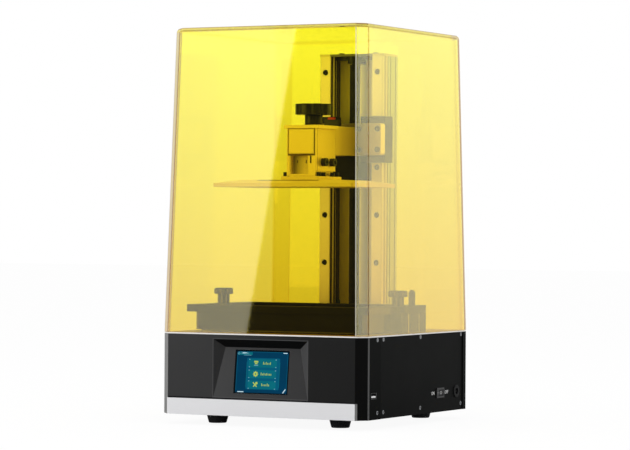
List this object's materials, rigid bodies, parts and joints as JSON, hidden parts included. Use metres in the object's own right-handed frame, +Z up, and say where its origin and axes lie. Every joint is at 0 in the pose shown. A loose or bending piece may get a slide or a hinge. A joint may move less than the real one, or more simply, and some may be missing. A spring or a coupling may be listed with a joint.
{
  "type": "resin 3d printer",
  "caption": "Desktop resin 3D printer: see-through yellow cover, touch screen in the base, rail-guided lifting arm with build platform, and a clamped resin vat.",
  "frame": {"origin": "on the ground, at the middle of the footprint", "axes": "+Z up, the screen side faces -Y, +X is to the right seen from the screen side"},
  "size_m": [0.278, 0.3, 0.48],
  "materials": {
    "rubber_black": "matte",
    "steel_zinc": "zinc plated",
    "steel_pan": "satin powder coat",
    "shell_black": "semi-gloss moulded",
    "trim_white": "satin white",
    "panel_black": "satin powder coat",
    "deck_paint": "light satin paint with a bright edge",
    "touch_glass": "polished, lit from behind",
    "module_grey": "stamped frame",
    "circuit_green": "solder mask",
    "circuit_white": "white solder mask",
    "circuit_dark": "dark solder mask",
    "component_black": "moulded parts",
    "steel_bright": "nickel plated",
    "plastic_black": "moulded",
    "plastic_dark": "moulded",
    "lens_clear": "clear with lenslets",
    "aluminium_raw": "raw extruded",
    "aluminium_satin": "bead blasted and clear anodised",
    "mask_glass": "polished black",
    "motor_black": "black lamination stack",
    "steel_ground": "ground",
    "screw_dark": "dark rolled thread",
    "steel_black": "black oxide",
    "block_black": "black plated steel",
    "brass_nut": "turned",
    "knob_black": "moulded, fine grain",
    "vat_black": "fine grain",
    "film_clear": "clear film",
    "cover_tint": "see-through tinted acrylic"
  },
  "bodies": {
    "base": {"feet": "rubber_black", "foot_screws": "steel_zinc", "base_pan": "steel_pan", "front_fascia": "shell_black", "trim_strip": "trim_white", "side_panel_left": "panel_black", "side_panel_right": "panel_black", "rear_panel": "panel_black", "housing_screws": "steel_zinc", "deck_plate": "deck_paint", "touch_glass": "touch_glass", "display_module": "module_grey", "display_board": "circuit_green", "usb_socket": "steel_bright", "power_switch": "plastic_black", "power_jack": "plastic_black", "main_board": "circuit_green", "board_parts": "component_black", "light_housing": "plastic_dark", "lens_panel": "lens_clear", "led_board": "circuit_white", "heat_sink": "aluminium_raw", "light_fan_frame": "plastic_black", "exhaust_fan_frame": "plastic_black", "mask_screen": "mask_glass", "z_motor": "motor_black", "motor_bracket": "steel_pan", "screw_bearings": "steel_ground", "bearing_block": "plastic_dark", "z_column": "aluminium_satin", "column_cap": "steel_black", "drive_screws": "steel_black", "guide_rails": "steel_ground", "rail_screws": "steel_black", "limit_sensor": "circuit_dark", "vat_brackets": "vat_black"},
    "lid": {"lid": "cover_tint"},
    "carriage": {"guide_blocks": "block_black", "guide_end_caps": "plastic_black", "arm": "aluminium_satin", "arm_screws": "steel_black", "nut_housing": "plastic_black", "drive_nut": "brass_nut", "height_flag": "plastic_black"},
    "lead_screw": {"lead_screw": "screw_dark", "shaft_coupler": "aluminium_raw", "motor_shaft": "steel_ground"},
    "platform": {"platform_bracket": "aluminium_satin", "platform_block": "aluminium_satin", "build_plate": "aluminium_satin", "platform_screws": "steel_black"},
    "knob": {"platform_knob": "knob_black"},
    "vat": {"vat": "vat_black", "vat_film": "film_clear", "film_frame": "steel_ground"},
    "thumb_left": {"thumbscrew_left": "knob_black"},
    "thumb_right": {"thumbscrew_right": "knob_black"},
    "power_rocker": {"power_rocker": "plastic_black"},
    "light_fan_rotor": {"light_fan_rotor": "plastic_black"},
    "exhaust_fan_rotor": {"exhaust_fan_rotor": "plastic_black"}
  },
  "joints": [
    {"name": "lid_lift", "type": "slide", "parent": "base", "child": "lid", "axis": [0, 0, 1], "range_m": [0, 0.38]},
    {"name": "z_slide", "type": "slide", "parent": "base", "child": "carriage", "axis": [0, 0, 1], "range_m": [-0.1742, 0.07]},
    {"name": "screw_spin", "type": "hinge", "parent": "base", "child": "lead_screw", "pos_m": [0, 0.096, 0.2], "axis": [0, 0, 1], "range_deg": [-3200, 7900]},
    {"name": "platform_slide", "type": "slide", "parent": "carriage", "child": "platform", "axis": [0, -1, 0], "range_m": [0, 0.038]},
    {"name": "knob_turn", "type": "hinge", "parent": "platform", "child": "knob", "pos_m": [0, -0.0154, 0.375], "axis": [0, 0, 1], "range_deg": [0, 720]},
    {"name": "vat_lift", "type": "slide", "parent": "base", "child": "vat", "axis": [0, 0, 1], "range_m": [0, 0.03]},
    {"name": "thumb_left_turn", "type": "hinge", "parent": "vat", "child": "thumb_left", "pos_m": [-0.121, -0.024, 0.145], "axis": [0, 0, 1], "range_deg": [0, 720]},
    {"name": "thumb_right_turn", "type": "hinge", "parent": "vat", "child": "thumb_right", "pos_m": [0.121, -0.024, 0.145], "axis": [0, 0, 1], "range_deg": [0, 720]},
    {"name": "rocker_tilt", "type": "hinge", "parent": "base", "child": "power_rocker", "pos_m": [0.1348, 0.0603, 0.0355], "axis": [0, 0, 1], "range_deg": [0, 14]},
    {"name": "light_fan_spin", "type": "hinge", "parent": "base", "child": "light_fan_rotor", "pos_m": [0, -0.0395, 0.025], "axis": [0, 0, 1], "continuous": true},
    {"name": "exhaust_fan_spin", "type": "hinge", "parent": "base", "child": "exhaust_fan_rotor", "pos_m": [-0.072, 0.14, 0.062], "axis": [0, 1, 0], "continuous": true}
  ],
  "couplings": [
    {"joint": "screw_spin", "follows": "z_slide", "rad_per_m": -785.4}
  ]
}
